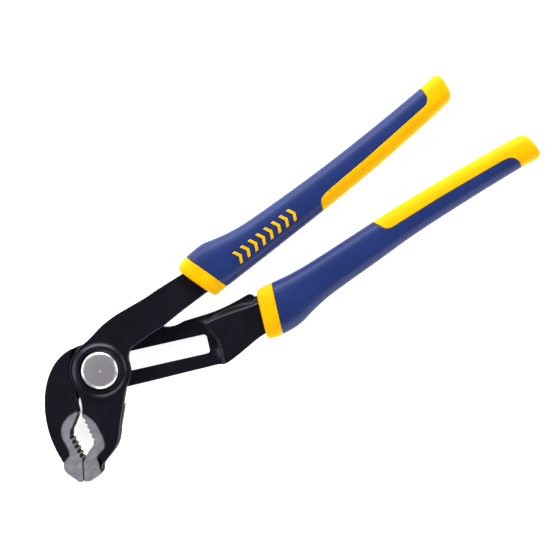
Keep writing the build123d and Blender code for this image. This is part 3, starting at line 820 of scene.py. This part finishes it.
def chevron_tree(finish):
    """Geometry Nodes: a row of chevrons laid on the surface that the tree is given, front and back."""
    tree = bpy.data.node_groups.new("chevron_row", "GeometryNodeTree")
    tree.interface.new_socket("Geometry", in_out="INPUT", socket_type="NodeSocketGeometry")
    ids = {}
    for name, kind in (("Count", "Int"), ("Pitch", "Float"), ("Height", "Float"), ("Stroke", "Float"),
                       ("Proud", "Float"), ("Angle", "Float"), ("Start", "Vector"), ("Middle", "Float")):
        ids[name] = tree.interface.new_socket(
            name, in_out="INPUT", socket_type="NodeSocket" + kind).identifier
    tree.interface.new_socket("Geometry", in_out="OUTPUT", socket_type="NodeSocketGeometry")
    given = add_node(tree, "NodeGroupInput").outputs

    half = add_node(tree, "ShaderNodeMath", {0: given["Height"], 1: 0.5}, operation="MULTIPLY")
    reach = add_node(tree, "ShaderNodeMath", {0: given["Height"], 1: 0.25}, operation="MULTIPLY")
    tip = add_node(tree, "ShaderNodeMath", {0: given["Stroke"], 1: reach.outputs["Value"]})
    arms = []
    for sign in (1, -1):
        end = add_node(tree, "ShaderNodeMath", {0: half.outputs["Value"], 1: sign}, operation="MULTIPLY")
        places = [(0.0, end.outputs["Value"]), (given["Stroke"], end.outputs["Value"]),
                  (tip.outputs["Value"], 0.0), (reach.outputs["Value"], 0.0)]
        corners = {}
        for n, (x, y) in enumerate(places, 1):
            corner = add_node(tree, "ShaderNodeCombineXYZ", {"X": x, "Y": y})
            corners[f"Point {n}"] = corner.outputs["Vector"]
        arm = add_node(tree, "GeometryNodeCurvePrimitiveQuadrilateral", corners, mode="POINTS")
        cut_up = add_node(tree, "GeometryNodeSubdivideCurve", {"Curve": arm.outputs["Curve"], "Cuts": 3})
        filled = add_node(tree, "GeometryNodeFillCurve", {"Curve": cut_up.outputs["Curve"]})
        arms.append(filled.outputs["Mesh"])
    joined = add_node(tree, "GeometryNodeJoinGeometry")
    for arm in arms:
        tree.links.new(arm, joined.inputs["Geometry"])
    flat = add_node(tree, "GeometryNodeMergeByDistance", {
        "Geometry": joined.outputs["Geometry"], "Distance": 0.01 * MM})
    step = add_node(tree, "ShaderNodeCombineXYZ", {"X": given["Pitch"]})
    row = add_node(tree, "GeometryNodeMeshLine", {"Count": given["Count"], "Offset": step.outputs["Vector"]})
    placed = add_node(tree, "GeometryNodeInstanceOnPoints", {
        "Points": row.outputs["Mesh"], "Instance": flat.outputs["Geometry"]})
    turn = add_node(tree, "ShaderNodeCombineXYZ", {"Z": given["Angle"]})
    turned_row = add_node(tree, "GeometryNodeTransform", {
        "Geometry": placed.outputs["Instances"], "Translation": given["Start"],
        "Rotation": turn.outputs["Vector"]})
    real = add_node(tree, "GeometryNodeRealizeInstances", {"Geometry": turned_row.outputs["Geometry"]})
    sides = [laid_chevrons(tree, given, real.outputs["Geometry"], sign) for sign in (1, -1)]
    both = add_node(tree, "GeometryNodeJoinGeometry")
    for laid in sides:
        tree.links.new(laid, both.inputs["Geometry"])
    last = add_node(tree, "GeometryNodeRealizeInstances", {"Geometry": both.outputs["Geometry"]})
    coated = add_node(tree, "GeometryNodeSetMaterial", {
        "Geometry": last.outputs["Geometry"], "Material": finish})
    add_node(tree, "NodeGroupOutput", {"Geometry": coated.outputs["Geometry"]})
    return tree, ids


MARK_SUNK = 0.6 * MM        # how far a chevron's underside lies below the sleeve's skin
RAY_START = 40 * MM         # from the grip's middle plane, well outside the sleeve


def laid_chevrons(tree, given, flat, sign):
    """Drops the flat row onto one face of the surface, sinks it a little and raises its top."""
    raised = add_node(tree, "GeometryNodeExtrudeMesh", {
        "Mesh": flat, "Offset": (0, 0, sign), "Offset Scale": 1 * MM, "Individual": False})
    both_caps = add_node(tree, "GeometryNodeJoinGeometry")
    flipped = add_node(tree, "GeometryNodeFlipFaces", {"Mesh": flat})
    for part in (raised.outputs["Mesh"], flipped.outputs["Mesh"]):
        tree.links.new(part, both_caps.inputs["Geometry"])
    closed = add_node(tree, "GeometryNodeMergeByDistance", {
        "Geometry": both_caps.outputs["Geometry"], "Distance": 0.005 * MM})
    place = add_node(tree, "GeometryNodeInputPosition").outputs["Position"]
    axes = add_node(tree, "ShaderNodeSeparateXYZ", {"Vector": place}).outputs
    start = add_node(tree, "ShaderNodeMath", {0: given["Middle"], 1: sign * RAY_START})
    above = add_node(tree, "ShaderNodeCombineXYZ", {
        "X": axes["X"], "Y": axes["Y"], "Z": start.outputs["Value"]})
    ray = add_node(tree, "GeometryNodeRaycast", {
        "Target Geometry": given["Geometry"], "Source Position": above.outputs["Vector"],
        "Ray Direction": (0, 0, -sign), "Ray Length": 1.0})
    hit = add_node(tree, "ShaderNodeSeparateXYZ", {"Vector": ray.outputs["Hit Position"]})
    level = add_node(tree, "ShaderNodeMath", {0: axes["Z"], 1: sign}, operation="MULTIPLY")
    is_top = add_node(tree, "ShaderNodeMath", {
        0: level.outputs["Value"], 1: 0.5 * MM}, operation="GREATER_THAN")
    full = add_node(tree, "ShaderNodeMath", {0: given["Proud"], 1: MARK_SUNK})
    lift = add_node(tree, "ShaderNodeMath", {
        0: is_top.outputs["Value"], 1: full.outputs["Value"]}, operation="MULTIPLY")
    rise = add_node(tree, "ShaderNodeMath", {0: lift.outputs["Value"], 1: MARK_SUNK}, operation="SUBTRACT")
    outward = add_node(tree, "ShaderNodeMath", {0: rise.outputs["Value"], 1: sign}, operation="MULTIPLY")
    height = add_node(tree, "ShaderNodeMath", {0: hit.outputs["Z"], 1: outward.outputs["Value"]})
    laid = add_node(tree, "ShaderNodeCombineXYZ", {
        "X": axes["X"], "Y": axes["Y"], "Z": height.outputs["Value"]})
    return add_node(tree, "GeometryNodeSetPosition", {
        "Geometry": closed.outputs["Geometry"], "Position": laid.outputs["Vector"]}).outputs["Geometry"]


class GripMarks(bpy.types.Operator):
    """Row of raised chevrons on both faces of the upper sleeve"""
    bl_idname = "pliers.grip_marks"
    bl_label = "Grip marks"

    def execute(self, context):
        sizes = context.scene.pliers_sizes
        sleeve = bpy.data.objects["upper_sleeve_moulding"]
        piece = new_object("chevron_marks", sleeve.data.copy())
        tree, ids = chevron_tree(material("yellow"))
        nodes = piece.modifiers.new("row", "NODES")
        nodes.node_group = tree
        nodes[ids["Count"]] = sizes.mark_count
        nodes[ids["Pitch"]] = sizes.mark_pitch
        nodes[ids["Height"]] = sizes.mark_height
        nodes[ids["Stroke"]] = sizes.mark_stroke
        nodes[ids["Proud"]] = sizes.mark_proud
        nodes[ids["Angle"]] = sizes.mark_angle
        nodes[ids["Start"]] = sizes.mark_start
        nodes[ids["Middle"]] = GRIP_MIDDLE
        settled(piece)
        bm = bmesh.new()
        bm.from_mesh(piece.data)
        bmesh.ops.recalc_face_normals(bm, faces=bm.faces)
        bm.to_mesh(piece.data)
        bm.free()
        soft_edges(piece, 0.1 * MM, 2, 45)
        shaded(piece, 50)
        finished(piece, "upper_lever", "yellow_grip", "upper_grip_marks")
        return {"FINISHED"}


# ---- the stage ----
def soft_light(name, place, aim, size, power):
    """A square soft box that faces a point."""
    data = bpy.data.lights.new(name, "AREA")
    data.shape = "RECTANGLE"
    data.size, data.size_y = size
    data.energy = power
    lamp = bpy.data.objects.new(name, data)
    lamp.location = place
    lamp.rotation_euler = (Vector(aim) - Vector(place)).to_track_quat("-Z", "Y").to_euler()
    bpy.context.scene.collection.objects.link(lamp)


VIEW_MIDDLE = Vector((0.088, -0.0106, 0.0))     # what the camera and the lights aim at
VIEW_UP = Vector((0.552, 0.834, 0.0))
VIEW_RIGHT = Vector((0.834, -0.552, 0.0))
# name, metres right of the middle, metres up the view, height, size and watts
SOFT_BOXES = (
    ("upper_left_box", -0.25, 1.0, 0.5, (1.6, 0.5), 32.0),
    ("lower_right_box", 0.35, -1.0, 0.38, (1.6, 0.4), 15.0),
    ("left_box", -1.1, -0.1, 0.6, (0.7, 0.6), 9.0),
    ("right_box", 1.1, 0.3, 0.6, (0.7, 0.6), 7.0),
)


class Stage(bpy.types.Operator):
    """Pale floor, soft studio light and the camera"""
    bl_idname = "pliers.stage"
    bl_label = "Stage"

    def execute(self, context):
        sizes = context.scene.pliers_sizes
        scene = context.scene
        bm = bmesh.new()
        bmesh.ops.create_grid(bm, x_segments=1, y_segments=1, size=2.5)
        floor = new_object("floor", mesh_from(bm, "floor"))
        floor.data.transform(Matrix.Translation((0.1, 0, FLOOR)))
        paper, _, shader = new_material("white_paper_sweep", 0.9)
        shader.inputs["Base Color"].default_value = linear("#F2F2F2")
        shader.inputs["Emission Color"].default_value = linear("#FFFFFF")
        shader.inputs["Emission Strength"].default_value = sizes.floor_glow
        floor.data.materials.append(paper)

        world = bpy.data.worlds.new("studio")
        world.use_nodes = True
        world.node_tree.nodes["Background"].inputs["Color"].default_value = linear("#E8EAF0")
        world.node_tree.nodes["Background"].inputs["Strength"].default_value = sizes.room_light
        scene.world = world
        for name, along, across, height, size, power in SOFT_BOXES:
            place = VIEW_MIDDLE + VIEW_RIGHT * along + VIEW_UP * across + Vector((0, 0, height))
            soft_light(name, place, VIEW_MIDDLE, size, power)

        camera_data = bpy.data.cameras.new("camera")
        camera_data.lens = sizes.lens
        camera_data.sensor_width = 36
        camera_data.clip_start = 0.01
        camera = bpy.data.objects.new("camera", camera_data)
        camera.location = (
            VIEW_MIDDLE.x + sizes.aim_shift[0], VIEW_MIDDLE.y + sizes.aim_shift[1], sizes.camera_height)
        camera.rotation_euler = (0, 0, -atan2(VIEW_UP.x, VIEW_UP.y))
        scene.collection.objects.link(camera)
        scene.camera = camera
        scene.view_settings.view_transform = "Standard"
        return {"FINISHED"}


# ---- what a user may change ----
class PliersColours(bpy.types.PropertyGroup):
    """Colours as sRGB hex."""
    coat: StringProperty(name="Coat", description="Black baked coat", default="#0B0B10")
    coat_light: StringProperty(name="Coat, light", description="Thin spots of the coat", default="#101017")
    steel: StringProperty(name="Bare steel", description="Ground steel", default="#B4B2BA")
    steel_dark: StringProperty(name="Bare steel, dark", description="Pits and lines", default="#918F97")
    button: StringProperty(name="Button face", description="Blasted steel", default="#C9C5CA")
    button_dark: StringProperty(name="Button face, dark", description="Speckle", default="#B2AEB3")
    chamfer: StringProperty(name="Button chamfer", description="Polished steel", default="#D8D8DC")
    wire: StringProperty(name="Spring wire", description="Drawn wire", default="#6E6E74")
    scale: StringProperty(name="Side scale", description="Oxide on sides and teeth", default="#1C1A1E")
    blue: StringProperty(name="Sleeve", description="Blue elastomer", default="#17285B")
    blue_shade: StringProperty(name="Sleeve, shade", description="Flow of the blue", default="#1A2C63")
    yellow: StringProperty(name="Collar and tail", description="Yellow elastomer", default="#E0A600")
    yellow_shade: StringProperty(name="Yellow, shade", description="Flow of the yellow", default="#E4AB00")


def length(name, description, default):
    return FloatProperty(name=name, description=description, default=default, unit="LENGTH", min=0)


class PliersSizes(bpy.types.PropertyGroup):
    """Sizes in metres."""
    forged_edge: length("Forged edge", "Rounding of the forgings' outline", 0.5 * MM)
    milled_edge: length("Milled edge", "Rounding of milled edges and teeth", 0.12 * MM)
    button_chamfer: length("Button chamfer", "Width of the polished rim", 1.0 * MM)
    wire: length("Wire", "Diameter of the spring wire", 0.8 * MM)
    turns: FloatProperty(name="Turns", description="Turns of the button spring", default=2.5, min=1)
    end_round: length("End rounding", "Radius of the grips' ends", 2.8 * MM)
    collar_round: length("Collar rounding", "Radius of the grips' front rim", 1.5 * MM)
    ring_gap: length("Ring gap", "Distance between the grips' sections", 1.2 * MM)
    squareness: FloatProperty(
        name="Squareness", description="Exponent of the grips' section, 2 for an ellipse", default=2.9, min=2)
    seam_gap: length("Seam gap", "Air between two colours", 0.12 * MM)
    seam_edge: length("Seam edge", "Rounding beside a seam", 0.22 * MM)
    mark_count: IntProperty(name="Marks", description="Chevrons in the row", default=8, min=1)
    mark_pitch: length("Mark pitch", "From one chevron to the next", 4.3 * MM)
    mark_height: length("Mark height", "Across the grip", 6.0 * MM)
    mark_stroke: length("Mark stroke", "Width of a chevron's line", 1.5 * MM)
    mark_proud: length("Mark relief", "How far a chevron stands out", 0.3 * MM)
    mark_angle: FloatProperty(
        name="Mark angle", description="Turn of the row", default=radians(4.6), unit="ROTATION")
    mark_start: FloatVectorProperty(
        name="Mark start", description="Middle of the first chevron", default=(77.4 * MM, 7.9 * MM, 0),
        subtype="TRANSLATION")
    room_light: FloatProperty(
        name="Room light", description="Strength of the even light", default=0.06, min=0)
    floor_glow: FloatProperty(
        name="Floor glow", description="Light that the pale floor gives off", default=0.85, min=0)
    lens: FloatProperty(name="Lens", description="Focal length in mm", default=86.4, min=1)
    camera_height: length("Camera height", "Above the tool's back plane", 606.5 * MM)
    aim_shift: FloatVectorProperty(
        name="Aim", description="Camera's place beside the tool's middle", default=(0.27 * MM, 0, 0),
        subtype="TRANSLATION")


def colours():
    return bpy.context.scene.pliers_colours


STEPS = (
    SlottedLever, ButtonLever, JointSteel, PushButton, ButtonSpring, UpperGrip, LowerGrip, GripMarks, Stage)


class PliersPanel(bpy.types.Panel):
    """Lists the steps and the sizes."""
    bl_idname = "VIEW3D_PT_pliers"
    bl_label = "Push-button pliers"
    bl_space_type = "VIEW_3D"
    bl_region_type = "UI"
    bl_category = "Pliers"

    def draw(self, context):
        for step in STEPS:
            self.layout.operator(step.bl_idname)
        for group in (context.scene.pliers_sizes, context.scene.pliers_colours):
            for name in group.__annotations__:
                self.layout.prop(group, name)


CLASSES = (PliersColours, PliersSizes, *STEPS, PliersPanel)


def register():
    for made in CLASSES:
        bpy.utils.register_class(made)
    bpy.types.Scene.pliers_colours = bpy.props.PointerProperty(type=PliersColours)
    bpy.types.Scene.pliers_sizes = bpy.props.PointerProperty(type=PliersSizes)


def unregister():
    del bpy.types.Scene.pliers_sizes
    del bpy.types.Scene.pliers_colours
    for made in reversed(CLASSES):
        bpy.utils.unregister_class(made)


def main():
    register()
    bpy.ops.pliers.stage()
    bpy.ops.pliers.slotted_lever()
    bpy.ops.pliers.button_lever()
    bpy.ops.pliers.joint_steel()
    bpy.ops.pliers.push_button()
    bpy.ops.pliers.button_spring()
    bpy.ops.pliers.upper_grip()
    bpy.ops.pliers.lower_grip()
    bpy.ops.pliers.grip_marks()


if __name__ == "__main__":
    main()
